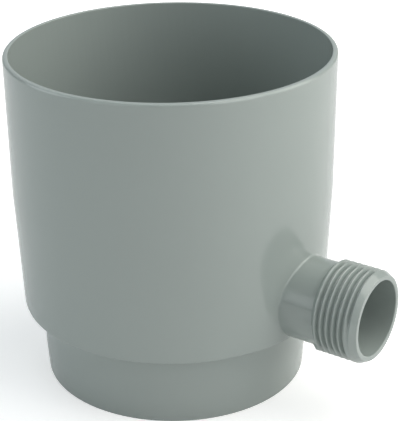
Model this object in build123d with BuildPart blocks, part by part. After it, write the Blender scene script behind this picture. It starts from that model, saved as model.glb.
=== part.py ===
from build123d import *
import os
from math import radians, sqrt, tan

# Downpipe rain diverter, one PVC moulding. Millimetres, +Z up.
# The origin is the centre of the spigot's lower end, and the outlet points along +X.

# Rain pipe above and below
pipe_radius = 55.0

# Cup, which takes the upper pipe
overall_height = 123.0
socket_clearance = 1.8
wall = 1.95
upper_draft = 0.41
bend_height = 72.0
shoulder_height = 27.5
shoulder_step = 6.95
shoulder_rounding = 0.8
rim_chamfer = 0.45

# Spigot, which goes into the lower pipe
spigot_setback = 5.5
spigot_wall = 2.1
spigot_root = 1.7
lead_in_length = 10.0
lead_in_depth = 0.65

# Ring channel and standpipe, over which a full channel spills
floor_thickness = 1.75
channel_width = 18.9
standpipe_wall = 1.7
standpipe_height = 34.0

# Stops on the cup's wall, which hold the upper pipe clear of the outlet
stop_count = 4
stop_height = 40.0
stop_reach = 5.0
stop_thickness = 2.0

# Side outlet
outlet_height = 41.1
neck_radius = 15.1
neck_reach = 7.25
neck_fillet = 0.7
mouth_radius = 13.5
throat_radius = 12.4

# Outlet's pipe thread, size 1 inch: 11 turns to the inch, 55 degree flanks
thread_radius = 33.249 / 2
thread_pitch = 25.4 / 11
thread_depth = 1.479
flank_angle = 27.5
crest_clearance = 0.2
mouth_chamfer = 1.8
end_ring_radius = 15.25
groove_turns = 5.95
groove_end_angle = -105.0
groove_end_setback = 3.05

# Run-in, which bares the first ridge on the neck's side
run_in_turns = 0.99
run_in_overlap = 0.1
run_in_slope = 45.0
run_in_rise = 0.03
run_in_foot = 0.6
run_in_width = 3.0
collar_lead = 0.9

# Levels and radii that follow from the sizes above
floor_top = shoulder_height + floor_thickness
standpipe_top = floor_top + standpipe_height
stop_foot = floor_top - floor_thickness / 2
stop_top = floor_top + stop_height
socket_radius = pipe_radius + socket_clearance
rim_radius = socket_radius + wall
spigot_radius = pipe_radius - spigot_setback
shoulder_radius = spigot_radius + shoulder_step
standpipe_radius = shoulder_radius - wall - channel_width
bend_radius = rim_radius - (overall_height - bend_height) * tan(radians(upper_draft))
spigot_bore = spigot_radius - spigot_wall
standpipe_bore = standpipe_radius - standpipe_wall
throat_start = sqrt((shoulder_radius - wall) ** 2 - throat_radius**2) - wall
collar_start = rim_radius + neck_reach
run_in_start = collar_start + collar_lead
run_in_length = run_in_turns * thread_pitch
run_in_lead = run_in_turns - run_in_overlap
groove_start = run_in_start + run_in_lead * thread_pitch
groove_length = groove_turns * thread_pitch
groove_spin = groove_end_angle - 360 * groove_turns
run_in_spin = groove_spin - 360 * run_in_lead
outlet_reach = groove_start + groove_length + groove_end_setback

outlet_axis = Axis((0, 0, outlet_height), (1, 0, 0))
outlet_plane = Plane(origin=(0, 0, outlet_height), x_dir=(1, 0, 0), z_dir=(0, -1, 0))


def lower_radius(height):
    """Outer radius of the cup's wall below the bend, at a height above the spigot's end."""
    share = (height - shoulder_height) / (bend_height - shoulder_height)
    return shoulder_radius + share * (bend_radius - shoulder_radius)


# Thread groove, a V wound along +Z, which stands a little proud of the crests
root_radius = thread_radius - thread_depth
groove_top = thread_depth + crest_clearance
groove_top_half = groove_top * tan(radians(flank_angle))
with BuildPart() as thread_groove:
    with BuildLine() as groove_path:
        Helix(pitch=thread_pitch, height=groove_length, radius=root_radius)
    with BuildSketch(Plane.XZ):
        with Locations((root_radius, 0)):
            Polygon((0, 0), (groove_top, groove_top_half), (groove_top, -groove_top_half), align=None)
    sweep(path=groove_path.wires()[0], is_frenet=True)

# Run-in, which clears the collar away on the neck's side of the first ridge
run_in_radius = root_radius + run_in_rise
run_in_top = groove_top - run_in_rise
run_in_slant = run_in_top * tan(radians(run_in_slope))
with BuildPart() as run_in:
    with BuildLine() as run_in_path:
        Helix(pitch=thread_pitch, height=run_in_length, radius=run_in_radius)
    with BuildSketch(Plane.XZ):
        with Locations((run_in_radius, 0)):
            Polygon(
                (0, -run_in_foot - run_in_width),
                (0, -run_in_foot),
                (run_in_top, run_in_slant - run_in_foot),
                (run_in_top, -run_in_foot - run_in_width),
                align=None,
            )
    sweep(path=run_in_path.wires()[0], is_frenet=True)

# One pipe stop, a rib on the +X side of the cup's wall
with BuildPart() as pipe_stop:
    with BuildSketch(Plane.XZ):
        with BuildLine():
            Polyline(
                (lower_radius(floor_top) - wall / 2, stop_foot),
                (bend_radius - wall / 2, stop_top),
                (bend_radius - wall - stop_reach, stop_top),
                (lower_radius(floor_top) - wall - stop_reach, stop_foot),
                close=True,
            )
        make_face()
    extrude(amount=stop_thickness / 2, both=True)

with BuildPart() as diverter_body:
    # Outer form: cup, rounded shoulder and spigot
    with BuildSketch(Plane.XZ):
        with BuildLine():
            FilletPolyline(
                (0, overall_height),
                (rim_radius, overall_height),
                (bend_radius, bend_height),
                (shoulder_radius, shoulder_height),
                (spigot_radius + spigot_root, shoulder_height),
                (spigot_radius, shoulder_height - spigot_root),
                (spigot_radius, lead_in_length),
                (spigot_radius - lead_in_depth, 0),
                (0, 0),
                radius=[0, 0, shoulder_rounding, 0, 0, 0, 0],
            )
            Line((0, 0), (0, overall_height))
        make_face()
    revolve(axis=Axis.Z)

    # Outlet neck and threaded collar
    with BuildSketch(outlet_plane):
        with BuildLine():
            Polyline(
                (0, 0),
                (0, neck_radius),
                (collar_start, neck_radius),
                (collar_start, thread_radius),
                (outlet_reach - mouth_chamfer, thread_radius),
                (outlet_reach, end_ring_radius),
                (outlet_reach, 0),
                close=True,
            )
        make_face()
    revolve(axis=outlet_axis)
    neck_edges = diverter_body.edges(Select.NEW).filter_by(GeomType.BSPLINE)
    fillet(neck_edges.filter_by(lambda edge: edge.center().Z > shoulder_height), neck_fillet)

    # Cup's inside above the channel floor, around the standpipe
    with BuildSketch(Plane.XZ):
        with BuildLine():
            Polyline(
                (0, overall_height),
                (socket_radius, overall_height),
                (socket_radius, bend_height),
                (lower_radius(floor_top) - wall, floor_top),
                (standpipe_radius, floor_top),
                (standpipe_radius, standpipe_top),
                (0, standpipe_top),
                close=True,
            )
        make_face()
    revolve(axis=Axis.Z, mode=Mode.SUBTRACT)

    # Passage up through the spigot and the standpipe
    with BuildSketch(Plane.XZ):
        with BuildLine():
            Polyline(
                (0, 0),
                (spigot_bore, 0),
                (spigot_bore, shoulder_height),
                (standpipe_bore, shoulder_height),
                (standpipe_bore, standpipe_top),
                (0, standpipe_top),
                close=True,
            )
        make_face()
    revolve(axis=Axis.Z, mode=Mode.SUBTRACT)

    # Outlet bore, narrowing from the mouth to the channel
    with BuildSketch(outlet_plane):
        with BuildLine():
            Polyline(
                (throat_start, 0),
                (throat_start, throat_radius),
                (outlet_reach, mouth_radius),
                (outlet_reach, 0),
                close=True,
            )
        make_face()
    revolve(axis=outlet_axis, mode=Mode.SUBTRACT)

    # Pipe stops, ribs rooted in the wall and the floor
    with PolarLocations(0, stop_count, start_angle=180 / stop_count):
        add(pipe_stop.part)

    # Thread
    with Locations(Location((groove_start, 0, outlet_height), (0, 90, groove_spin))):
        add(thread_groove.part, mode=Mode.SUBTRACT)
    with Locations(Location((run_in_start, 0, outlet_height), (0, 90, run_in_spin))):
        add(run_in.part, mode=Mode.SUBTRACT)

    # Rim's chamfered edges
    rim_edges = diverter_body.edges().filter_by(GeomType.CIRCLE).group_by(Axis.Z)[-1]
    chamfer(rim_edges, rim_chamfer)

os.makedirs("parts", exist_ok=True)
diverter_body.part.label = "diverter_body"
export_step(diverter_body.part, "parts/diverter_body.step")
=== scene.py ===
import math

import bmesh
import bpy
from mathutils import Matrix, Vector


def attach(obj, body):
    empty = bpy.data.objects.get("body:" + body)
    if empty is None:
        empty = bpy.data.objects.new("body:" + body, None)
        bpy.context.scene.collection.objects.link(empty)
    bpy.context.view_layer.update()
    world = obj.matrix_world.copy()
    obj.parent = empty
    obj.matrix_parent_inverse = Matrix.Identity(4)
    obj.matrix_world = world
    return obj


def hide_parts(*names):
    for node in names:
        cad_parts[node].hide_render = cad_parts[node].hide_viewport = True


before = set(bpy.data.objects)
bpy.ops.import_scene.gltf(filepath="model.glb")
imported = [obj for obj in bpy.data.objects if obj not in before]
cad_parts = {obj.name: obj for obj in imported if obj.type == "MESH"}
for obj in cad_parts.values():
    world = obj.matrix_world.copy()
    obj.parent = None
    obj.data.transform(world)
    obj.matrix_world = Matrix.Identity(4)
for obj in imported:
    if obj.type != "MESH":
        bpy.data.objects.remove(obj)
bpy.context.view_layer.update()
scene = bpy.context.scene
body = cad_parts["diverter_body"]

# One millimetre in metres
MM = 0.001

# Sizes that repeat the CAD part's
RIM_TOP = 123.0 * MM
RIM_OUTER = 58.75 * MM
RIM_INNER = 56.8 * MM
SHOULDER_RADIUS = 56.45 * MM
SHOULDER_HEIGHT = 27.5 * MM
SHOULDER_ROUND = 0.8 * MM
OUTLET_HEIGHT = 41.1 * MM
NECK_RADIUS = 15.1 * MM
NECK_REACH = 7.25 * MM
COLLAR_START = RIM_OUTER + NECK_REACH
CREST_RADIUS = 33.249 / 2 * MM
PITCH = 25.4 / 11 * MM
THREAD_DEPTH = 1.479 * MM
FLANK_ANGLE = 27.5
COLLAR_LEAD = 0.9 * MM
RUN_IN_START = COLLAR_START + COLLAR_LEAD
RUN_IN_LEAD = 0.89
RUN_IN_FOOT = 0.6 * MM
GROOVE_START = RUN_IN_START + RUN_IN_LEAD * PITCH
GROOVE_TURNS = 5.95
GROOVE_END_ANGLE = -105.0
GROOVE_SPIN = GROOVE_END_ANGLE - 360.0 * GROOVE_TURNS
GROOVE_END_SETBACK = 3.05 * MM
OUTLET_REACH = GROOVE_START + GROOVE_TURNS * PITCH + GROOVE_END_SETBACK
END_RING_RADIUS = 15.25 * MM
MOUTH_RADIUS = 13.5 * MM
THROAT_RADIUS = 12.4 * MM
THROAT_START = 51.12 * MM

# Forms softer than the CAD part's: the thread's tail and fades in turns, the shoulder's in degrees
THREAD_ROUND = 0.32 * MM
TAIL_SHARE = 0.3
TAIL_DROP = 0.04
TAIL_TURNS = 0.14
START_FADE = 0.025
END_RING_CHAMFER = 2.4 * MM
END_RING_ROUND = 0.35 * MM
END_RING_INSET = 0.1 * MM
MOUTH_ROUND = 0.35 * MM
RIM_SIDE = RIM_OUTER - 0.03 * MM
RIM_OUTER_ROUND = 1.1 * MM
RIM_INNER_ROUND = 0.35 * MM
SHOULDER_SOFT = 1.6
SHOULDER_CLEAR = 18.0
SHOULDER_FADE = 10.0

# Where the CAD mesh is cut and the new forms begin
CUT_X = 61.0 * MM
COLLAR_X = 62.0 * MM
CUT_Z = RIM_TOP - 1.8 * MM

# How fine the new forms are
AROUND = 264
STEP = 0.1 * MM
LEAD_STEPS = 2
LEAST_STEP = 0.6 * STEP
MOUTH_STEPS = 5
RIM_STEPS = 6

# What counts as one place, as the shoulder's rounding and as a sharp edge
SAME_PLACE = 0.0002 * MM
SHOULDER_REACH = 1.1 * SHOULDER_ROUND
SHOULDER_PLAY = 0.01 * MM
SHARP_ANGLE = 34.0

# Grey PVC, written in linear light, and the clouds in it, a little lighter
PVC = (0.326, 0.369, 0.351, 1.0)
PVC_CLOUD = (0.334, 0.379, 0.361, 1.0)
PVC_ROUGHNESS = 0.15
PVC_IOR = 1.6
PVC_SPECULAR = 0.5
CLOUD_SCALE = 22.0
CLOUD_DETAIL = 2.0
GRAIN_SCALE = 900.0
GRAIN_DETAIL = 3.0
GRAIN_STRENGTH = 0.06
GRAIN_HEIGHT = 0.1 * MM

# Floor, a wide sheet of paper, and how much brighter camera and gloss see it
FLOOR_SIZE = 6.0
PAPER = (0.8, 0.8, 0.8, 1.0)
PAPER_ROUGHNESS = 0.9
FLOOR_LIFT_SEEN = 0.48
FLOOR_LIFT_GLOSS = 0.2

# How fast the floor fades to white, for each square metre of squared distance
FLOOR_FADE = 2.0

# White for the floor's glow and the backdrop, and how bright gloss sees the backdrop
WHITE = (1.0, 1.0, 1.0, 1.0)
BACKDROP_GLOSS = 0.37

# Camera, at the photograph's angle
CAMERA_LENS = 114.849
CAMERA_SHIFT = 0.0689
CAMERA_PLACE = (0.26760, -0.36470, 0.26628)
CAMERA_TURN = (1.14295, 0.01850, 0.62639)
CAMERA_BEARING = 36.3

# Lamps, all turned to one point, and their tints
LAMP_AIM = (0.0, 0.0, 0.06)
LAMP_DISTANCE = 1.5
WARM = (1.0, 0.985, 0.93)
PLAIN = (1.0, 1.0, 1.0)
COOL = (0.925, 0.98, 1.0)
SKY = (0.84, 0.94, 1.0)


def smooth(value):
    """0 below 0, 1 above 1, and an even slope between."""
    value = min(max(value, 0.0), 1.0)
    return value * value * (3 - 2 * value)


def thread_form(offset):
    """Depth of the rounded thread under its crests, at an axial distance from a groove's middle."""
    flank = math.radians(FLANK_ANGLE)
    reach = THREAD_ROUND * math.cos(flank)
    distance = abs(offset)
    middle = PITCH / 2
    if distance >= middle:
        return 0.0
    if distance <= reach:
        return THREAD_DEPTH - THREAD_ROUND + math.sqrt(THREAD_ROUND**2 - distance**2)
    if distance >= middle - reach:
        return THREAD_ROUND - math.sqrt(THREAD_ROUND**2 - (middle - distance) ** 2)
    crest_side = THREAD_ROUND * (1 - math.sin(flank))
    root_side = THREAD_DEPTH - crest_side
    share = (distance - reach) / (middle - 2 * reach)
    return root_side + share * (crest_side - root_side)


def groove_share(turn):
    """How deep the groove is cut at a turn, as a share: whole, then a shallow tail that fades out."""
    if turn < GROOVE_TURNS - TAIL_DROP:
        return 1.0
    drop = 1 - (1 - TAIL_SHARE) * smooth((turn - GROOVE_TURNS + TAIL_DROP) / (2 * TAIL_DROP))
    return drop * (1 - smooth((turn - GROOVE_TURNS) / TAIL_TURNS))


def run_in_form(offset):
    """Height of the first ridge's outer side above the neck, at an axial distance from the run-in."""
    return min(max(offset + RUN_IN_FOOT, 0.0), CREST_RADIUS - NECK_RADIUS)


def end_ring_radius(x):
    """Radius of the end band: the crests' radius, then a chamfer with a soft edge."""
    past = x - OUTLET_REACH + END_RING_CHAMFER
    past = (past + math.hypot(past, END_RING_ROUND)) / 2
    return CREST_RADIUS - (CREST_RADIUS - END_RING_RADIUS) * past / END_RING_CHAMFER


def collar_radius(x, lap):
    """The collar's radius at a place along the outlet, a share of a turn past the groove's start."""
    first = GROOVE_START + lap * PITCH
    depth = 0.0
    turn = lap
    while turn < GROOVE_TURNS + TAIL_TURNS:
        depth = max(depth, groove_share(turn) * thread_form(x - GROOVE_START - turn * PITCH))
        turn += 1
    radius = CREST_RADIUS - depth
    shown = smooth((lap - 1 + RUN_IN_LEAD) / START_FADE)
    if x < first:
        outer_side = run_in_form(x - first + PITCH)
        radius = NECK_RADIUS + shown * min(max(radius - NECK_RADIUS, 0.0), outer_side)
    elif x < first + PITCH / 2:
        outer_side = NECK_RADIUS + run_in_form(x - first)
        radius = radius * shown + outer_side * (1 - shown)
    return max(min(radius, end_ring_radius(x)), NECK_RADIUS)


def ring_of(mesh, x, radius_at):
    """One ring of vertices around the outlet's axis."""
    ring = []
    for i in range(AROUND):
        angle = 2 * math.pi * i / AROUND
        radius = radius_at(x, ((math.degrees(angle) - GROOVE_SPIN) % 360) / 360)
        ring.append(mesh.verts.new((x, radius * math.sin(angle), OUTLET_HEIGHT - radius * math.cos(angle))))
    return ring


def skin(mesh, rings):
    """Faces between each ring of vertices and the next."""
    for a, b in zip(rings, rings[1:]):
        count = len(a)
        for i in range(count):
            j = (i + 1) % count
            mesh.faces.new((a[i], a[j], b[j], b[i]))


def stitch(mesh, first, second, bearing):
    """Triangles between two rings of unlike counts, matched by their vertices' bearings."""
    first = sorted(first, key=bearing)
    second = sorted(second, key=bearing)
    i = 0
    j = 0
    while i < len(first) or j < len(second):
        here = first[i % len(first)]
        there = second[j % len(second)]
        next_here = first[(i + 1) % len(first)]
        next_there = second[(j + 1) % len(second)]
        ahead = bearing(next_here) + 2 * math.pi * ((i + 1) // len(first))
        beyond = bearing(next_there) + 2 * math.pi * ((j + 1) // len(second))
        if j >= len(second) or (i < len(first) and ahead <= beyond):
            mesh.faces.new((here, next_here, there))
            i += 1
        else:
            mesh.faces.new((here, next_there, there))
            j += 1


def around_outlet(vertex):
    """A vertex's bearing about the outlet's axis."""
    return math.atan2(vertex.co.y, OUTLET_HEIGHT - vertex.co.z)


def around_cup(vertex):
    """A vertex's bearing about the cup's axis."""
    return math.atan2(vertex.co.y, vertex.co.x)


def from_outlet(vertex):
    """A vertex's distance from the outlet's axis."""
    return math.hypot(vertex.co.y, vertex.co.z - OUTLET_HEIGHT)


def from_cup(vertex):
    """A vertex's distance from the cup's axis."""
    return math.hypot(vertex.co.x, vertex.co.y)


def cut_off(mesh, place, normal):
    """Cuts the mesh with a plane, drops the part on the normal's side and gives the vertices on the cut."""
    parts = mesh.verts[:] + mesh.edges[:] + mesh.faces[:]
    bmesh.ops.bisect_plane(mesh, geom=parts, plane_co=place, plane_no=normal, clear_outer=True)
    return {vertex for edge in mesh.edges if edge.is_boundary for vertex in edge.verts}


def add_collar(mesh):
    """Threaded collar, mouth and the bore's outer end, joined to the neck."""
    cut = cut_off(mesh, (CUT_X, 0, 0), (1, 0, 0))
    split = (NECK_RADIUS + MOUTH_RADIUS) / 2
    neck_end = [vertex for vertex in cut if from_outlet(vertex) > split]
    bore_end = [vertex for vertex in cut if from_outlet(vertex) <= split]
    rings = [ring_of(mesh, COLLAR_X, lambda x, lap: NECK_RADIUS)]
    x = COLLAR_START - LEAD_STEPS * STEP
    while x < OUTLET_REACH - LEAST_STEP:
        rings.append(ring_of(mesh, x, collar_radius))
        x += STEP
    rings.append(ring_of(mesh, OUTLET_REACH, lambda x, lap: END_RING_RADIUS - END_RING_INSET))
    for k in range(MOUTH_STEPS + 1):
        turn = math.pi / 2 * k / MOUTH_STEPS
        radius = MOUTH_RADIUS + MOUTH_ROUND * (1 - math.sin(turn))
        place = OUTLET_REACH - MOUTH_ROUND * (1 - math.cos(turn))
        rings.append(ring_of(mesh, place, lambda x, lap: radius))
    taper = (MOUTH_RADIUS - THROAT_RADIUS) / (OUTLET_REACH - THROAT_START)
    bore_radius = MOUTH_RADIUS - (OUTLET_REACH - COLLAR_X) * taper
    rings.append(ring_of(mesh, COLLAR_X, lambda x, lap: bore_radius))
    skin(mesh, rings)
    stitch(mesh, neck_end, rings[0], around_outlet)
    stitch(mesh, bore_end, rings[-1], around_outlet)


def add_rim(mesh):
    """The cup's rim with rounded edges."""
    cut = cut_off(mesh, (0, 0, CUT_Z), (0, 0, 1))
    split = (RIM_OUTER + RIM_INNER) / 2
    tops = []
    for outer in (True, False):
        edge = sorted((vertex for vertex in cut if (from_cup(vertex) > split) == outer), key=around_cup)
        angles = [around_cup(vertex) for vertex in edge]
        rounding = RIM_OUTER_ROUND if outer else RIM_INNER_ROUND
        rings = [edge]
        for k in range(RIM_STEPS + 1):
            turn = math.pi / 2 * k / RIM_STEPS
            inset = rounding * (1 - math.cos(turn))
            radius = RIM_SIDE - inset if outer else RIM_INNER + inset
            level = RIM_TOP - rounding * (1 - math.sin(turn))
            places = [(radius * math.cos(angle), radius * math.sin(angle), level) for angle in angles]
            rings.append([mesh.verts.new(place) for place in places])
        skin(mesh, rings)
        tops.append(rings[-1])
    stitch(mesh, tops[0], tops[1], around_cup)


def soften_shoulder(mesh):
    """The shoulder's lower edge with a larger rounding, away from the outlet."""
    for vertex in mesh.verts:
        radius = from_cup(vertex)
        inset = radius - SHOULDER_RADIUS
        above = vertex.co.z - SHOULDER_HEIGHT
        if abs(inset) > SHOULDER_REACH or not -SHOULDER_PLAY < above < SHOULDER_REACH:
            continue
        bearing = abs(math.degrees(around_cup(vertex)))
        grow = 1 + (SHOULDER_SOFT - 1) * smooth((bearing - SHOULDER_CLEAR) / SHOULDER_FADE)
        scale = (SHOULDER_RADIUS + inset * grow) / radius
        vertex.co = (vertex.co.x * scale, vertex.co.y * scale, SHOULDER_HEIGHT + above * grow)


def softened_body():
    """The moulding with a rounded thread, end band, mouth, rim and shoulder, on the CAD part's own form."""
    mesh = bmesh.new()
    mesh.from_mesh(body.data)
    bmesh.ops.remove_doubles(mesh, verts=mesh.verts[:], dist=SAME_PLACE)
    add_collar(mesh)
    add_rim(mesh)
    soften_shoulder(mesh)
    bmesh.ops.recalc_face_normals(mesh, faces=mesh.faces[:])
    for face in mesh.faces:
        face.smooth = True
    data = bpy.data.meshes.new("diverter_moulding")
    mesh.to_mesh(data)
    mesh.free()
    stale = data.attributes.get("custom_normal")
    if stale:
        data.attributes.remove(stale)
    data.set_sharp_from_angle(angle=math.radians(SHARP_ANGLE))
    piece = bpy.data.objects.new("diverter_moulding", data)
    scene.collection.objects.link(piece)
    weighted = piece.modifiers.new("weighted", "WEIGHTED_NORMAL")
    weighted.keep_sharp = True
    return piece


def noise(tree, coords, scale, detail):
    """Noise over the piece's own coordinates."""
    texture = tree.nodes.new("ShaderNodeTexNoise")
    texture.inputs["Scale"].default_value = scale
    texture.inputs["Detail"].default_value = detail
    tree.links.new(coords.outputs["Object"], texture.inputs["Vector"])
    return texture.outputs["Fac"]


def pvc_material():
    """Moulded grey PVC: a slight gloss, a fine moulded grain and very faint clouds."""
    mat = bpy.data.materials.new("grey_pvc")
    mat.use_nodes = True
    tree = mat.node_tree
    shader = tree.nodes["Principled BSDF"]
    shader.inputs["Roughness"].default_value = PVC_ROUGHNESS
    shader.inputs["IOR"].default_value = PVC_IOR
    shader.inputs["Specular IOR Level"].default_value = PVC_SPECULAR
    coords = tree.nodes.new("ShaderNodeTexCoord")
    tone = tree.nodes.new("ShaderNodeMix")
    tone.data_type = "RGBA"
    tone.inputs["A"].default_value = PVC
    tone.inputs["B"].default_value = PVC_CLOUD
    tree.links.new(noise(tree, coords, CLOUD_SCALE, CLOUD_DETAIL), tone.inputs["Factor"])
    tree.links.new(tone.outputs["Result"], shader.inputs["Base Color"])
    bump = tree.nodes.new("ShaderNodeBump")
    bump.inputs["Strength"].default_value = GRAIN_STRENGTH
    bump.inputs["Distance"].default_value = GRAIN_HEIGHT
    tree.links.new(noise(tree, coords, GRAIN_SCALE, GRAIN_DETAIL), bump.inputs["Height"])
    tree.links.new(bump.outputs["Normal"], shader.inputs["Normal"])
    return mat


def math_output(tree, operation, *values):
    """Output of a Math node, which takes numbers and other nodes' outputs."""
    node = tree.nodes.new("ShaderNodeMath")
    node.operation = operation
    for socket, value in zip(node.inputs, values):
        if isinstance(value, float):
            socket.default_value = value
        else:
            tree.links.new(value, socket)
    return node.outputs["Value"]


def floor_material():
    """White paper that camera and gloss see a little brighter, so that it reads as white with a shadow."""
    mat = bpy.data.materials.new("floor_paper")
    mat.use_nodes = True
    tree = mat.node_tree
    paper = tree.nodes["Principled BSDF"]
    paper.inputs["Base Color"].default_value = PAPER
    paper.inputs["Roughness"].default_value = PAPER_ROUGHNESS
    path = tree.nodes.new("ShaderNodeLightPath")
    coords = tree.nodes.new("ShaderNodeTexCoord")
    away = tree.nodes.new("ShaderNodeVectorMath")
    away.operation = "DOT_PRODUCT"
    tree.links.new(coords.outputs["Object"], away.inputs[0])
    tree.links.new(coords.outputs["Object"], away.inputs[1])
    seen = math_output(tree, "MULTIPLY_ADD", away.outputs["Value"], FLOOR_FADE, FLOOR_LIFT_SEEN)
    gloss = math_output(tree, "MULTIPLY", path.outputs["Is Glossy Ray"], FLOOR_LIFT_GLOSS)
    lift = math_output(tree, "MULTIPLY_ADD", path.outputs["Is Camera Ray"], seen, gloss)
    glow = tree.nodes.new("ShaderNodeEmission")
    glow.inputs["Color"].default_value = WHITE
    tree.links.new(lift, glow.inputs["Strength"])
    both = tree.nodes.new("ShaderNodeAddShader")
    tree.links.new(paper.outputs["BSDF"], both.inputs[0])
    tree.links.new(glow.outputs["Emission"], both.inputs[1])
    tree.links.new(both.outputs["Shader"], tree.nodes["Material Output"].inputs["Surface"])
    return mat


def soft_lamp(name, bearing, rise, size, power, tint):
    """Large round lamp turned to the cup; its bearing is counted from the camera's side, to the right."""
    lamp = bpy.data.lights.new(name, "AREA")
    lamp.shape = "DISK"
    lamp.size = size
    lamp.energy = power
    lamp.color = tint
    turn = math.radians(CAMERA_BEARING + bearing)
    lift = math.radians(rise)
    ahead = Vector((math.sin(turn) * math.cos(lift), -math.cos(turn) * math.cos(lift), math.sin(lift)))
    obj = bpy.data.objects.new(name, lamp)
    scene.collection.objects.link(obj)
    obj.location = Vector(LAMP_AIM) + LAMP_DISTANCE * ahead
    obj.rotation_euler = ahead.to_track_quat("Z", "Y").to_euler()


# The moulding, in the CAD part's place
moulding = softened_body()
moulding.data.materials.append(pvc_material())
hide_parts("diverter_body")
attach(moulding, "root")

# Floor
bpy.ops.mesh.primitive_plane_add(size=FLOOR_SIZE, location=(0, 0, 0))
floor = bpy.context.object
floor.name = "floor"
floor.data.materials.append(floor_material())

# Camera
cam = bpy.data.cameras.new("camera")
cam.lens = CAMERA_LENS
cam.shift_x = CAMERA_SHIFT
view = bpy.data.objects.new("camera", cam)
scene.collection.objects.link(view)
view.location = CAMERA_PLACE
view.rotation_euler = CAMERA_TURN
scene.camera = view

# Light, strongest from the upper right, with a little from every side
soft_lamp("right_high", 90.0, 55.0, 1.7, 14.2, WARM)
soft_lamp("right_low", 90.0, 18.0, 1.1, 5.8, WARM)
soft_lamp("right_front", 45.0, 22.0, 1.1, 6.5, PLAIN)
soft_lamp("right_front_high", 45.0, 55.0, 1.7, 2.1, PLAIN)
soft_lamp("left_front", -45.0, 18.0, 1.1, 3.1, COOL)
soft_lamp("left", -90.0, 18.0, 1.1, 6.3, COOL)
soft_lamp("back_left", -135.0, 55.0, 1.1, 1.8, SKY)
soft_lamp("back", 180.0, 32.0, 2.2, 3.4, SKY)
soft_lamp("top", 0.0, 89.0, 1.1, 3.4, SKY)

# Backdrop, white for the camera, dimmer for gloss and dark for all other light
world = bpy.data.worlds.new("world")
scene.world = world
world.use_nodes = True
tree = world.node_tree
backdrop = tree.nodes["Background"]
backdrop.inputs["Color"].default_value = WHITE
rays = tree.nodes.new("ShaderNodeLightPath").outputs
strength = math_output(tree, "MULTIPLY_ADD", rays["Is Glossy Ray"], BACKDROP_GLOSS, rays["Is Camera Ray"])
tree.links.new(strength, backdrop.inputs["Strength"])
scene.view_settings.view_transform = "Standard"
